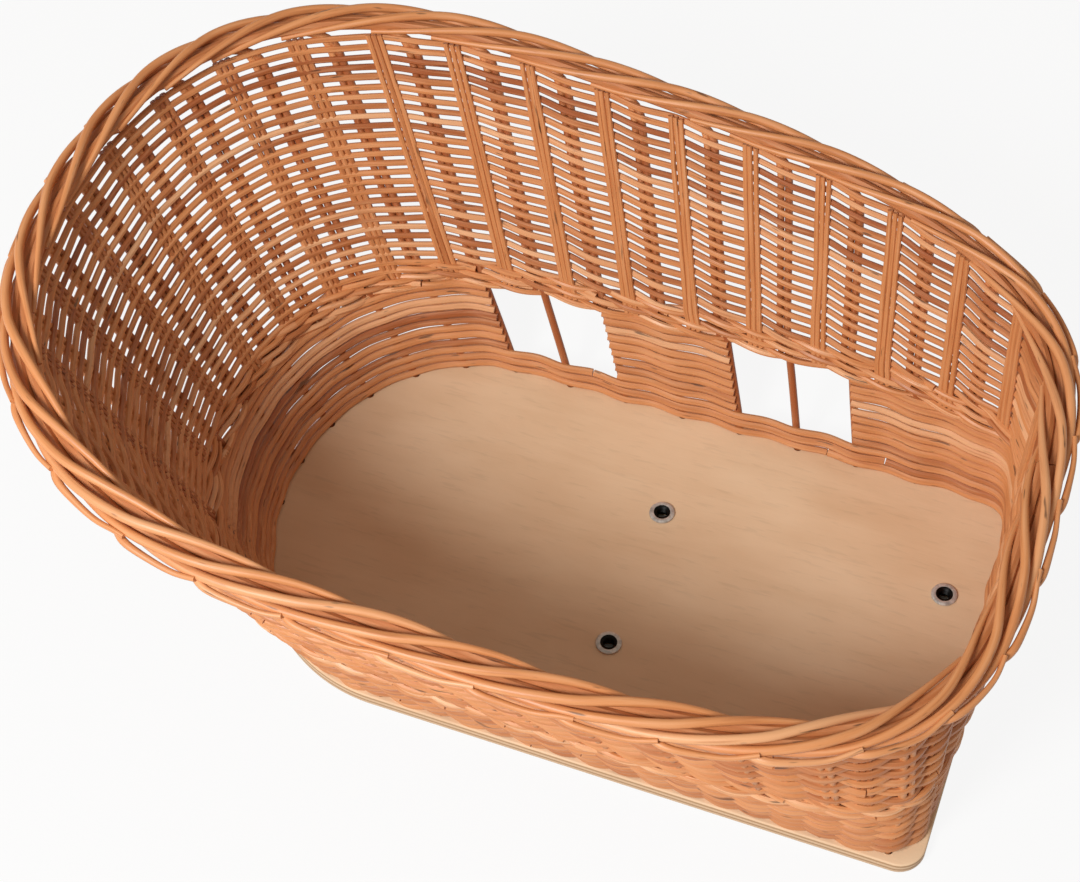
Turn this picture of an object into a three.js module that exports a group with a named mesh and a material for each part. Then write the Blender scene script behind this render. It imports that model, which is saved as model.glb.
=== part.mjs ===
// Dog bicycle basket: willow stakes and weavers on a plywood floor board, with a rope-laid border
// and two windows low in one long wall. Millimetres, +Z up, X along the basket, the round end at -X
// and the windows in the +Y wall. The origin lies under the middle of the rim, on the underside of
// the board.
//
// Uprights stand in pairs round the wall: a stake, and half a spacing on a thinner bye-stake. Places
// round the wall are counted in stakes, anticlockwise from above, from one near the middle of the
// square end.

import * as THREE from 'three';

// Floor board
const BOARD_LENGTH = 448;
const BOARD_WIDTH = 264;
const BOARD_THICKNESS = 9;
const BOARD_ROUND_END = 115;
const BOARD_CORNER_RADIUS = 24;
const BOARD_SETBACK = 6;

// Rim: the middle of the border
const RIM_LENGTH = 550;
const RIM_WIDTH = 390;
const RIM_ROUND_END = 211;
const RIM_ROUND_POWER = 2.15;
const RIM_SQUARE_POWER = 3.4;
const RIM_HEIGHT_ROUND = 248;
const RIM_HEIGHT_SQUARE = 172;

// Border: four strands laid like a flat rope
const BORDER_WIDTH = 26;
const BORDER_HEIGHT = 19;
const BORDER_STRANDS = 4;
const BORDER_TAIL = 0.5;
const BORDER_BEND = 10;
const BORDER_STEPS = 7;

// Uprights and weavers
const WALL_PANELS = 17;
const ROUND_END_SPACINGS = 11;
const FIRST_STAKE = 0.65;
const WALL_INSET = 6;
const WALL_CORNER_RADIUS = 26;
const STAKE_DIAMETER = 7;
const STAKE_FOOT_DIAMETER = 5;
const STAKE_FOOT_SHIFT = 1;
const BYE_STAKE_DIAMETER = 6;
const WEAVER_DIAMETER = 4.4;
const UPRIGHT_SHIFT = 2.5;
const LOWER_ROW_PITCH = 6.8;
const UPPER_ROW_PITCH = 11.5;
const WEAVE_GAP = 0.65;
const FIT_GAP = 0.4;
const STAKE_SIDES = 5;
const WEAVER_SIDES = 3;

// Windows, each one wall panel wide, with the panel's middle stake as mullion
const WINDOW_PANELS = [2, 4];
const SILL_HEIGHT = 16;
const WINDOW_HEIGHT = 42;

// Tee nuts in the board's bolt holes
const BOLT_SPACING_X = 180;
const BOLT_SPACING_Y = 100;
const BOLT_EDGE = 32;
const TEE_NUT_BORE = 6.6;
const TEE_NUT_BARREL = 9.6;
const TEE_NUT_FLANGE = 16;
const TEE_NUT_FLANGE_THICKNESS = 1.4;
const TEE_NUT_LENGTH = 7.5;
const ROUND_SEGMENTS = 12;

// Sizes that follow
const STAKES = 2 * WALL_PANELS;
const STAKE_RADIUS = STAKE_DIAMETER / 2;
const STAKE_FOOT_RADIUS = STAKE_FOOT_DIAMETER / 2;
const BYE_STAKE_RADIUS = BYE_STAKE_DIAMETER / 2;
const WEAVER_RADIUS = WEAVER_DIAMETER / 2;
const BOARD_FRONT_X = RIM_LENGTH / 2 - BOARD_SETBACK;
const BOARD_ROUND_X = BOARD_FRONT_X - BOARD_LENGTH + BOARD_ROUND_END;
const WINDOW_TOP = BOARD_THICKNESS + SILL_HEIGHT + WINDOW_HEIGHT;
const STRAND_OUT = BORDER_WIDTH / 2 - STAKE_RADIUS;
const STRAND_UP = BORDER_HEIGHT / 2 - STAKE_RADIUS;

const willow = new THREE.MeshStandardMaterial({ color: 0xc47f47, roughness: 0.55, metalness: 0 });
const stakeWillow = new THREE.MeshStandardMaterial({ color: 0xb56f3a, roughness: 0.5, metalness: 0 });
const plywood = new THREE.MeshStandardMaterial({ color: 0xd0ae84, roughness: 0.7, metalness: 0 });
const steel = new THREE.MeshStandardMaterial({ color: 0x55534f, roughness: 0.4, metalness: 1 });

const basket = new THREE.Group();

function addPiece(name, geometry, material) {
  const mesh = new THREE.Mesh(geometry, material);
  mesh.name = name;
  basket.add(mesh);
  return mesh;
}

// Plan curves

// Outline of the board, drawn in by an inset: square at +X with round corners, half an ellipse at -X.
function boardOutline(inset, corner) {
  const front = BOARD_FRONT_X - inset;
  const side = BOARD_WIDTH / 2 - inset;
  const outline = new THREE.Path();
  outline.moveTo(front, 0);
  outline.lineTo(front, side - corner);
  outline.absarc(front - corner, side - corner, corner, 0, Math.PI / 2, false);
  outline.lineTo(BOARD_ROUND_X, side);
  outline.absellipse(BOARD_ROUND_X, 0, BOARD_ROUND_END - inset, side, Math.PI / 2, 1.5 * Math.PI, false, 0);
  outline.lineTo(front - corner, -side);
  outline.absarc(front - corner, corner - side, corner, -Math.PI / 2, 0, false);
  outline.lineTo(front, 0);
  return outline;
}

// Plan of the rim: two superellipse halves that meet at the widest place.
class RimPlan extends THREE.Curve {
  getPoint(t) {
    const turn = 2 * Math.PI * t;
    const round = Math.cos(turn) < 0;
    const power = 2 / (round ? RIM_ROUND_POWER : RIM_SQUARE_POWER);
    const reach = round ? RIM_ROUND_END : RIM_LENGTH - RIM_ROUND_END;
    const along = Math.sign(Math.cos(turn)) * Math.abs(Math.cos(turn)) ** power;
    const across = Math.sign(Math.sin(turn)) * Math.abs(Math.sin(turn)) ** power;
    const widestX = RIM_ROUND_END - RIM_LENGTH / 2;
    return new THREE.Vector3(widestX + reach * along, (RIM_WIDTH / 2) * across, 0);
  }
}

const wallFoot = boardOutline(WALL_INSET, WALL_CORNER_RADIUS);
const rimPlan = new RimPlan();
rimPlan.arcLengthDivisions = 2000;

// The wall is ruled: straight lines from the board to the rim. Their spacing is even along the rim.
// On the board they stand closer together round the round end than along the sides.
const [, , footSideLength] = wallFoot.getCurveLengths();
const footSideShare = footSideLength / wallFoot.getLength();
const sideSpacings = (STAKES - ROUND_END_SPACINGS) / 2;

function placeRound(stake) {
  const share = (stake + FIRST_STAKE) / STAKES;
  return share - Math.floor(share);
}

function footShare(stake) {
  const spacings = STAKES * placeRound(stake);
  const fromEnd = Math.min(spacings, STAKES - spacings);
  const side = (footSideShare * Math.min(fromEnd, sideSpacings)) / sideSpacings;
  const round = ((0.5 - footSideShare) * Math.max(fromEnd - sideSpacings, 0)) / (ROUND_END_SPACINGS / 2);
  return spacings > STAKES / 2 ? 1 - side - round : side + round;
}

function footPoint(stake) {
  const plan = wallFoot.getPointAt(footShare(stake));
  return new THREE.Vector3(plan.x, plan.y, BOARD_THICKNESS);
}

function rimPoint(stake) {
  const point = rimPlan.getPointAt(placeRound(stake));
  const rise = (RIM_HEIGHT_SQUARE - RIM_HEIGHT_ROUND) / RIM_LENGTH;
  point.z = (RIM_HEIGHT_SQUARE + RIM_HEIGHT_ROUND) / 2 + rise * point.x;
  return point;
}

// Directions of the wall at a place: along it, up its slope and out through it.
function wallFrame(stake, share) {
  const step = 0.02;
  const before = footPoint(stake - step).lerp(rimPoint(stake - step), share);
  const after = footPoint(stake + step).lerp(rimPoint(stake + step), share);
  const along = after.sub(before).normalize();
  const slope = rimPoint(stake).sub(footPoint(stake)).normalize();
  const out = along.clone().cross(slope).normalize();
  return { along, up: out.clone().cross(along), out };
}

// How far the wall leans out at a place, as the level share of its slope.
function wallLean(stake) {
  const slope = rimPoint(stake).sub(footPoint(stake)).normalize();
  return Math.hypot(slope.x, slope.y);
}

// Point of the wall at a height, moved outwards from its middle surface.
function wallPoint(stake, height, outwards) {
  const foot = footPoint(stake);
  const rim = rimPoint(stake);
  const share = (height - foot.z) / (rim.z - foot.z);
  const { out } = wallFrame(stake, share);
  return { point: foot.lerp(rim, share).addScaledVector(out, outwards), out };
}

// Point beside the middle of the border.
function borderPoint(stake, outwards, upwards) {
  const { out, up } = wallFrame(stake, 1);
  return { point: rimPoint(stake).addScaledVector(out, outwards).addScaledVector(up, upwards), out };
}

// A rod along a line of places, each with its point, its radius and the wall's outward direction.
// Its rings stand in the mitre of each bend, and the sharpest bends are blunted.
const SHARPEST_MITRE = 0.6;

function rodGeometry(places, sides) {
  const positions = [];
  const faces = [];
  places.forEach(({ point, radius, out }, i) => {
    const before = places[Math.max(i - 1, 0)].point;
    const after = places[Math.min(i + 1, places.length - 1)].point;
    const into = (i > 0 ? point.clone().sub(before) : after.clone().sub(point)).normalize();
    const onward = (i < places.length - 1 ? after.clone().sub(point) : into.clone()).normalize();
    const tangent = into.clone().add(onward).normalize();
    const bend = onward.clone().sub(into).normalize();
    const mitre = 1 / Math.max(into.dot(tangent), SHARPEST_MITRE) - 1;
    const first = out.clone().addScaledVector(tangent, -out.dot(tangent)).normalize();
    const second = tangent.clone().cross(first);
    for (let k = 0; k < sides; k += 1) {
      const angle = Math.PI / 2 + (2 * Math.PI * k) / sides;
      const arm = first.clone().multiplyScalar(radius * Math.cos(angle));
      arm.addScaledVector(second, radius * Math.sin(angle));
      arm.addScaledVector(bend, mitre * arm.dot(bend));
      positions.push(...arm.add(point).toArray());
    }
  });
  for (let i = 0; i < places.length - 1; i += 1) {
    for (let k = 0; k < sides; k += 1) {
      const a = i * sides + k;
      const b = i * sides + ((k + 1) % sides);
      faces.push(a, b, b + sides, a, b + sides, a + sides);
    }
  }
  const last = (places.length - 1) * sides;
  for (let k = 1; k < sides - 1; k += 1) {
    faces.push(0, k + 1, k);
    faces.push(last, last + k, last + k + 1);
  }
  const geometry = new THREE.BufferGeometry();
  geometry.setAttribute('position', new THREE.Float32BufferAttribute(positions, 3));
  geometry.setIndex(faces);
  geometry.computeVertexNormals();
  return geometry;
}

// Points of a circle in plan, wide enough that its flats clear the radius.
function circlePoints(x, y, radius, segments) {
  const reach = radius / Math.cos(Math.PI / segments);
  const points = [];
  for (let k = 0; k < segments; k += 1) {
    const angle = (2 * Math.PI * k) / segments;
    points.push(new THREE.Vector2(x + reach * Math.cos(angle), y + reach * Math.sin(angle)));
  }
  return points;
}

// Floor board with its stake holes and bolt holes

const boltPlaces = [];
for (const x of [BOARD_FRONT_X - BOLT_EDGE, BOARD_FRONT_X - BOLT_EDGE - BOLT_SPACING_X]) {
  for (const y of [BOLT_SPACING_Y / 2, -BOLT_SPACING_Y / 2]) {
    boltPlaces.push({ x, y });
  }
}

function stakeFoot(stake) {
  return wallPoint(stake, BOARD_THICKNESS, STAKE_FOOT_SHIFT);
}

function boardGeometry() {
  const shape = new THREE.Shape(boardOutline(0, BOARD_CORNER_RADIUS).getPoints(ROUND_SEGMENTS));
  for (let stake = 0; stake < STAKES; stake += 1) {
    const { point } = stakeFoot(stake);
    const hole = circlePoints(point.x, point.y, STAKE_FOOT_RADIUS + FIT_GAP, ROUND_SEGMENTS / 2);
    shape.holes.push(new THREE.Path(hole));
  }
  for (const { x, y } of boltPlaces) {
    const hole = circlePoints(x, y, TEE_NUT_BARREL / 2 + FIT_GAP, ROUND_SEGMENTS);
    shape.holes.push(new THREE.Path(hole));
  }
  return new THREE.ExtrudeGeometry(shape, { depth: BOARD_THICKNESS, bevelEnabled: false });
}

addPiece('base_board', boardGeometry(), plywood);

// Tee nuts: a threaded barrel down the bolt hole and a flange that lies on the board

function teeNutGeometry() {
  const seat = FIT_GAP / 2;
  const bore = TEE_NUT_BORE / 2;
  const barrel = TEE_NUT_BARREL / 2;
  const mouth = (bore + barrel) / 2;
  const top = seat + TEE_NUT_FLANGE_THICKNESS;
  const profile = [
    new THREE.Vector2(bore, top - TEE_NUT_LENGTH),
    new THREE.Vector2(barrel, top - TEE_NUT_LENGTH),
    new THREE.Vector2(barrel, seat),
    new THREE.Vector2(TEE_NUT_FLANGE / 2, seat),
    new THREE.Vector2(TEE_NUT_FLANGE / 2, top),
    new THREE.Vector2(mouth, top),
    new THREE.Vector2(bore, seat),
    new THREE.Vector2(bore, top - TEE_NUT_LENGTH),
  ];
  return new THREE.LatheGeometry(profile, ROUND_SEGMENTS).rotateX(Math.PI / 2);
}

boltPlaces.forEach(({ x, y }, i) => {
  const nut = addPiece(`tee_nut_${i + 1}`, teeNutGeometry(), steel);
  nut.position.set(x, y, BOARD_THICKNESS);
});

// Stakes: a foot thinned to fit the board's hole, then straight up the outer side of the weave and laid
// along the rim

function strandPlace(stake, laid) {
  const angle = (2 * Math.PI * laid) / BORDER_STRANDS - Math.PI / 2;
  const place = borderPoint(stake + laid, STRAND_OUT * Math.cos(angle), STRAND_UP * Math.sin(angle));
  return { ...place, radius: STAKE_RADIUS };
}

function stakeGeometry(stake) {
  const foot = stakeFoot(stake);
  const bottom = foot.point.clone().setZ(FIT_GAP);
  const neck = foot.point.clone().setZ(BOARD_THICKNESS + FIT_GAP);
  const bendHeight = rimPoint(stake).z - STRAND_UP - BORDER_BEND;
  const places = [
    { point: bottom, radius: STAKE_FOOT_RADIUS, out: foot.out },
    { point: neck, radius: STAKE_FOOT_RADIUS, out: foot.out },
    { ...wallPoint(stake, bendHeight, UPRIGHT_SHIFT), radius: STAKE_RADIUS },
  ];
  const start = BORDER_TAIL / BORDER_STEPS;
  const tail = BORDER_STRANDS - BORDER_TAIL;
  for (let i = 0; i <= BORDER_STEPS; i += 1) {
    places.push(strandPlace(stake, start + ((tail - start) * i) / BORDER_STEPS));
  }
  return rodGeometry(places, STAKE_SIDES);
}

for (let stake = 0; stake < STAKES; stake += 1) {
  const number = String(stake + 1).padStart(2, '0');
  addPiece(`stake_${number}`, stakeGeometry(stake), stakeWillow);
}

// Wall panels: two stake spacings of weave, from one stake to the next but one

const closestSpacing = (wallFoot.getLength() - 2 * footSideLength) / ROUND_END_SPACINGS;

// How far a row swings from the middle of the wall so that it clears the upright it passes there,
// on a straight wall and where the wall's foot turns in beside the upright.
const rowClear = STAKE_RADIUS + WEAVER_RADIUS + WEAVE_GAP;

function swingFor(across, run) {
  let swing = rowClear - UPRIGHT_SHIFT;
  const turns = 12;
  for (let turn = 0; turn < turns; turn += 1) {
    swing = rowClear * Math.hypot(1, (swing + across) / run) - UPRIGHT_SHIFT;
  }
  return swing;
}

const straightSwing = swingFor(rowClear - UPRIGHT_SHIFT, closestSpacing / 2);

function rowSwing(stake, side) {
  const { along, out } = wallFrame(stake, 0);
  const swings = [-0.5, 0.5].map((step) => {
    const chord = footPoint(stake + step).sub(footPoint(stake));
    return swingFor(straightSwing - side * chord.dot(out), Math.abs(chord.dot(along)));
  });
  return side * Math.max(straightSwing, ...swings);
}

// Highest place of a panel: the row that ties in the first bye-stake, just under the border.
function panelTop(stake) {
  return rimPoint(stake).z - STRAND_UP - STAKE_RADIUS - BYE_STAKE_RADIUS - FIT_GAP;
}

// Even rows lie level with the rim all the way round. They are as many as the low end has room for.
const lowPlace = -FIRST_STAKE;
const evenRows = Math.round((panelTop(lowPlace) - WINDOW_TOP) / UPPER_ROW_PITCH);
const evenDepth = panelTop(lowPlace) - WINDOW_TOP;

// The lowest row rests on the board where it swings out down the wall's slope.
function lowestRow(stake) {
  return BOARD_THICKNESS + BYE_STAKE_RADIUS + FIT_GAP + rowSwing(stake, 1) * wallLean(stake);
}

// Heights of the rows of a panel as functions of the place round the wall, from the bottom up. Short
// rows build the wall up under the even ones where it is higher than at the square end.
function panelRows(start, hasWindow) {
  const rows = [];
  if (!hasWindow) {
    const lowerRows = Math.floor((WINDOW_TOP - lowestRow(start)) / LOWER_ROW_PITCH);
    for (let i = 0; i < lowerRows; i += 1) {
      rows.push((stake) => THREE.MathUtils.lerp(lowestRow(stake), WINDOW_TOP, i / lowerRows));
    }
  } else {
    rows.push(() => WINDOW_TOP);
  }
  const evenFoot = (stake) => panelTop(stake) - evenDepth;
  const shortRows = Math.floor((evenFoot(start + 1) - WINDOW_TOP) / UPPER_ROW_PITCH);
  for (let i = 0; i < shortRows; i += 1) {
    rows.push((stake) => THREE.MathUtils.lerp(WINDOW_TOP, evenFoot(stake), (i + 0.5) / shortRows));
  }
  for (let i = 0; i < evenRows; i += 1) {
    rows.push((stake) => evenFoot(stake) + (evenDepth * (i + 0.5)) / evenRows);
  }
  return rows;
}

const endStep = (WEAVER_RADIUS + FIT_GAP) / closestSpacing;

function weaverPlace(stake, height, outwards) {
  return { ...wallPoint(stake, height, outwards), radius: WEAVER_RADIUS };
}

// One row from end to end of a panel: inside the stakes and outside the bye-stakes.
function rowPlaces(start, height) {
  return [
    [start + endStep, rowSwing(start, -1)],
    [start + 0.5, rowSwing(start + 0.5, 1)],
    [start + 1, rowSwing(start + 1, -1)],
    [start + 1.5, rowSwing(start + 1.5, 1)],
    [start + 2 - endStep, rowSwing(start + 2, -1)],
  ].map(([stake, outwards]) => weaverPlace(stake, height(stake), outwards));
}

function byePlace(stake, height) {
  return { ...wallPoint(stake, height, -UPRIGHT_SHIFT), radius: BYE_STAKE_RADIUS };
}

// A panel is one unbroken rod: up the first bye-stake, to and fro down all the rows, and up the second.
function panelGeometry(start, hasWindow) {
  const rows = panelRows(start, hasWindow);
  const bottom = rows.shift();
  const boardSeat = BOARD_THICKNESS + FIT_GAP + BYE_STAKE_RADIUS * wallLean(start + 0.5);
  const firstFoot = hasWindow ? WINDOW_TOP - BYE_STAKE_RADIUS : boardSeat;
  const places = [byePlace(start + 0.5, firstFoot), byePlace(start + 0.5, panelTop(start + 0.5))];
  places.push(weaverPlace(start + endStep, panelTop(start + endStep), rowSwing(start, -1)));
  rows.reverse().forEach((height, i) => {
    const row = rowPlaces(start, height);
    places.push(...(i % 2 === 0 ? row : row.reverse()));
  });
  const last = rowPlaces(start, bottom);
  places.push(...(rows.length % 2 === 0 ? last.slice(0, 3) : last.slice(-1)));
  places.push(byePlace(start + 1.5, bottom(start + 1.5)));
  places.push(byePlace(start + 1.5, panelTop(start + 1.5)));
  return rodGeometry(places, WEAVER_SIDES);
}

// The sill under a window: the lowest rows alone, to and fro.
function sillGeometry(start) {
  const top = BOARD_THICKNESS + SILL_HEIGHT - WEAVER_RADIUS;
  const rows = panelRows(start, false).filter((height) => height(start) <= top);
  const places = rows.flatMap((height, i) => {
    const row = rowPlaces(start, height);
    return i % 2 === 0 ? row : row.reverse();
  });
  return rodGeometry(places, WEAVER_SIDES);
}

for (let panel = 0; panel < WALL_PANELS; panel += 1) {
  const start = 2 * panel + 1;
  const hasWindow = WINDOW_PANELS.includes(panel);
  const number = String(panel + 1).padStart(2, '0');
  addPiece(`wall_panel_${number}`, panelGeometry(start, hasWindow), willow);
}

WINDOW_PANELS.forEach((panel, i) => {
  addPiece(`window_sill_${i + 1}`, sillGeometry(2 * panel + 1), willow);
});

export default basket;
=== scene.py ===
"""Dog bicycle basket: peeled willow woven on a plywood floor, with a rope-laid border and two windows.

Everything is in metres in the basket's own frame: +X to the square end, +Y to the wall with the windows.
Uprights stand in two sets round the wall. Stakes stand outside the weave and are laid down along the rim.
Bye-stakes stand half a spacing on, inside the weave of the far wall, and end under the border. Above the
wale a stake is a pair of rods and a bye-stake three thin ones. A place round the wall is counted in stakes,
anticlockwise from the square end.
"""

import math

import bmesh
import bpy
import numpy as np
from mathutils import Matrix, Vector


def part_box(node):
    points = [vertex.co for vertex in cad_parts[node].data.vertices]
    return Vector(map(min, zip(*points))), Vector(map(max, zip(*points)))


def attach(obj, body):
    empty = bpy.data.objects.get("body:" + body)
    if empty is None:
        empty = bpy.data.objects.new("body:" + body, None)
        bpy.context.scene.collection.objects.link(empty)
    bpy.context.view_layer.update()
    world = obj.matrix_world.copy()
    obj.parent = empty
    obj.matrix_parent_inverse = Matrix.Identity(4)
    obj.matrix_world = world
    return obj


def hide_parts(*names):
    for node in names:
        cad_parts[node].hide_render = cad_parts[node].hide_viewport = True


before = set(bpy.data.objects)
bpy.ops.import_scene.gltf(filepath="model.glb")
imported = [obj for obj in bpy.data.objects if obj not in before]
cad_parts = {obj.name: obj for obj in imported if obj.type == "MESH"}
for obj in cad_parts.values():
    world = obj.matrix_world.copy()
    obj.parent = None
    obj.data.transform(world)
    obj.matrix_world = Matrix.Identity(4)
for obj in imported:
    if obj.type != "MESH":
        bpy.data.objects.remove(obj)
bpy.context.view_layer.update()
BOARD_LOW, BOARD_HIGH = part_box("base_board")
STAKE_NODES = sorted(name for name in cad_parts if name.startswith("stake_"))
NUT_NODES = sorted(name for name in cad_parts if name.startswith("tee_nut_"))
WALL_NODES = sorted(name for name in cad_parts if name.startswith("wall_panel_"))
SILL_NODES = sorted(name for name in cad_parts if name.startswith("window_sill_"))
STAKES = len(STAKE_NODES)

bl_info = {
    "name": "Willow Dog Basket",
    "version": (1, 0, 0),
    "blender": (4, 5, 0),
    "location": "3D View > Sidebar > Basket",
    "description": "Weaves a willow dog basket for a bicycle on a plywood floor",
    "category": "Add Mesh",
}

MM = 0.001

# Gap between the ends of two rods of one row, and the rest of a row that is too short for a rod, in places
ROD_GAP = 0.02
ROW_REST = 0.1

# Edges sharper than this are not shaded smooth
SHARP_ANGLE = math.radians(40)

# Photograph's camera
IMAGE_WIDTH = 1080
FOCAL_PIXELS = 2174
SENSOR_WIDTH = 36
CAMERA_AZIMUTH = math.radians(22.49)
CAMERA_ELEVATION = math.radians(53.82)
CAMERA_ROLL = math.radians(-2.5)
CAMERA_TARGET = Vector((-0.0344, 0.07704, 0.009))
CAMERA_DISTANCE = 1.39257


def length(name, description, default):
    """A property for a length in metres."""
    return bpy.props.FloatProperty(
        name=name, description=description, default=default, unit="LENGTH", precision=4
    )


def colour(name, description, default):
    """A property for a linear colour."""
    return bpy.props.FloatVectorProperty(
        name=name, description=description, default=default, subtype="COLOR", size=3, min=0, max=1
    )


class BasketSizes(bpy.types.PropertyGroup):
    """Sizes of the board, the wall and the rods."""

    board_round_end: length("Board round end", "Length of the board's rounded end", 115 * MM)
    board_corner: length("Board corner", "Radius of the board's square corners", 16 * MM)
    board_edge: length("Board edge", "Radius to which the board's edges are sanded", 1.2 * MM)
    wall_inset: length("Wall inset", "From the board's edge to the middle of the wall", 6 * MM)
    wall_corner: length("Wall corner", "Radius of the wall's foot at the square corners", 26 * MM)
    rim_length: length("Rim length", "Length of the rim at the middle of the border", 556 * MM)
    rim_width: length("Rim width", "Width of the rim at the middle of the border", 400 * MM)
    rim_round_end: length("Rim round end", "Length of the rim's rounded end", 211 * MM)
    rim_height_round: length("Round end height", "Height of the rim at the round end", 253 * MM)
    rim_height_square: length("Square end height", "Height of the rim at the square end", 176 * MM)
    border_width: length("Border width", "Width of the border", 26 * MM)
    border_height: length("Border height", "Height of the border", 19 * MM)
    stake: length("Stake", "Thickness of a stake", 5.2 * MM)
    second_stake: length("Second stake", "Thickness of the rod that doubles a stake", 4.6 * MM)
    bye_stake: length("Bye-stake", "Thickness of one of the three rods of a bye-stake", 3.4 * MM)
    strand: length("Border strand", "Thickness of a strand of the border", 5.2 * MM)
    weaver: length("Weaver", "Thickness of a weaver above the wale", 4.1 * MM)
    lower_weaver: length("Lower weaver", "Thickness of a weaver below the wale", 4.9 * MM)
    wale_rod: length("Wale rod", "Thickness of a rod of the wale", 4 * MM)
    upright_shift: length("Upright shift", "From the middle of the wall to an upright", 2 * MM)
    foot_shift: length("Foot shift", "From the middle of the wall to a stake at the board", 1 * MM)
    weave_swing: length("Weave swing", "How far a weaver swings to each side above the wale", 1.6 * MM)
    lower_swing: length("Lower swing", "How far a weaver swings to each side below the wale", 1.4 * MM)
    lower_pitch: length("Lower pitch", "Between rows below the wale", 5.0 * MM)
    upper_pitch: length("Upper pitch", "Between rows above the wale", 6.6 * MM)
    sill: length("Sill", "Height of the weave under the windows", 16 * MM)
    window: length("Window", "Height of the windows", 42 * MM)
    wale: length("Wale", "Height of the wale over the windows", 16 * MM)
    nut_flange: length("Tee nut flange", "Diameter of a tee nut's flange", 16 * MM)
    nut_bore: length("Tee nut bore", "Diameter of a tee nut's bore", 6.6 * MM)


class BasketColours(bpy.types.PropertyGroup):
    """Colours of the willow, the board, the nuts and the stage."""

    willow_pale: colour("Pale willow", "Palest rods", (0.78, 0.43, 0.22))
    willow: colour("Willow", "Most rods", (0.63, 0.255, 0.09))
    willow_dark: colour("Dark willow", "Darkest rods and streaks", (0.34, 0.09, 0.022))
    plywood: colour("Plywood", "Face of the board", (0.75, 0.535, 0.345))
    plywood_dark: colour("Plywood grain", "Grain of the board", (0.68, 0.465, 0.285))
    steel: colour("Steel", "Flanges of the tee nuts", (0.72, 0.70, 0.67))
    # The bores are near-black: painted shade inside the holes
    bore_painted_shade: colour("Dark steel", "Bores of the tee nuts", (0.02, 0.02, 0.02))
    floor: colour("Floor", "Floor under the basket", (0.6, 0.6, 0.6))


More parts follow.
